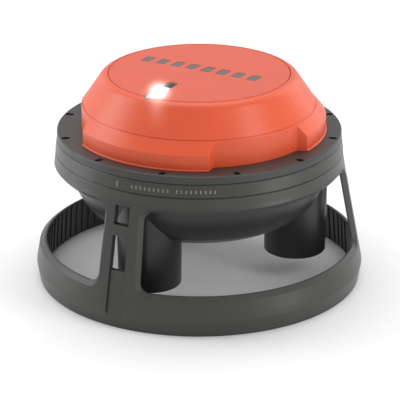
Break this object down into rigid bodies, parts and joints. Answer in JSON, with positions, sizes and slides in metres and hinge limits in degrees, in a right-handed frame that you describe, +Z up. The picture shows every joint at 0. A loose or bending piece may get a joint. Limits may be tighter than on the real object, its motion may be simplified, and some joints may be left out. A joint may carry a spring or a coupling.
{
  "type": "emergency position beacon",
  "caption": "Round floating position beacon with a domed strobe top, a dark hull with downward pods and a three-legged guard ring.",
  "frame": {"origin": "centre of the guard cage's foot ring, on the surface it stands on", "axes": "+Z up through the dome, -Y through the front leg and the strobe"},
  "size_m": [0.3, 0.2998, 0.1927],
  "materials": {
    "ballast_steel": "zinc plated",
    "band_plastic": "satin",
    "board_green": "solder mask",
    "button_plastic": "moulded",
    "cage_plastic": "fine-textured satin",
    "can_steel": "tinned",
    "cell_sleeve": "sleeved can",
    "clamp_plastic": "satin",
    "connector_white": "moulded",
    "coral_plastic": "satin moulded",
    "cover_plastic": "satin",
    "disc_plastic": "satin moulded",
    "foam_grey": "closed-cell foam",
    "hull_plastic": "smooth satin",
    "insert_brass": "turned",
    "lamp_white": "lit",
    "lead_jacket": "extruded",
    "lens_clear": "clear polished",
    "mark_grey": "satin",
    "patch_ceramic": "fired",
    "piezo_ceramic": "fired",
    "pin_steel": "ground",
    "pod_plastic": "satin",
    "port_black": "moulded",
    "screw_steel": "black oxide",
    "seal_rubber": "moulded",
    "switch_black": "moulded",
    "tray_plastic": "moulded",
    "well_plastic": "satin",
    "window_rubber": "cast"
  },
  "bodies": {
    "beacon": {"antenna_block": "foam_grey", "antenna_patch": "patch_ceramic", "ballast_plate": "ballast_steel", "battery_cells": "cell_sleeve", "battery_retainer": "tray_plastic", "battery_tray": "tray_plastic", "board_screws": "screw_steel", "board_standoffs": "insert_brass", "button_seal": "seal_rubber", "button_switch": "switch_black", "charge_port": "port_black", "clamp_ring": "clamp_plastic", "cover_hinge_pin": "pin_steel", "dome_gasket": "seal_rubber", "dome_shell": "coral_plastic", "flange_screws": "screw_steel", "float_ring": "foam_grey", "guard_cage": "cage_plastic", "housing_band": "band_plastic", "hull_bowl": "hull_plastic", "lead_connectors": "connector_white", "main_board": "board_green", "mark_inlay": "mark_grey", "pod_housing_front": "pod_plastic", "pod_housing_left": "pod_plastic", "pod_housing_right": "pod_plastic", "pod_lead_front": "lead_jacket", "pod_lead_left": "lead_jacket", "pod_lead_right": "lead_jacket", "pod_piezo_front": "piezo_ceramic", "pod_piezo_left": "piezo_ceramic", "pod_piezo_right": "piezo_ceramic", "pod_seal_front": "seal_rubber", "pod_seal_left": "seal_rubber", "pod_seal_right": "seal_rubber", "pod_window_front": "window_rubber", "pod_window_left": "window_rubber", "pod_window_right": "window_rubber", "radio_module": "can_steel", "screw_inserts": "insert_brass", "strobe_board": "board_green", "strobe_lamp": "lamp_white", "strobe_lens": "lens_clear", "strobe_well": "well_plastic", "switch_board": "board_green", "top_disc": "disc_plastic"},
    "power_button": {"power_button": "button_plastic"},
    "charge_cover": {"charge_cover": "cover_plastic"}
  },
  "joints": [
    {"name": "button_press", "type": "slide", "parent": "beacon", "child": "power_button", "axis": [0.225, -0.9744, 0], "range_m": [0, 0.0012], "stiffness_N_per_m": 600, "springref_m": -0.002},
    {"name": "cover_hinge", "type": "hinge", "parent": "beacon", "child": "charge_cover", "pos_m": [0.02461, 0.1066, 0.1606], "axis": [0.9744, -0.225, 0], "range_deg": [0, 110]}
  ]
}
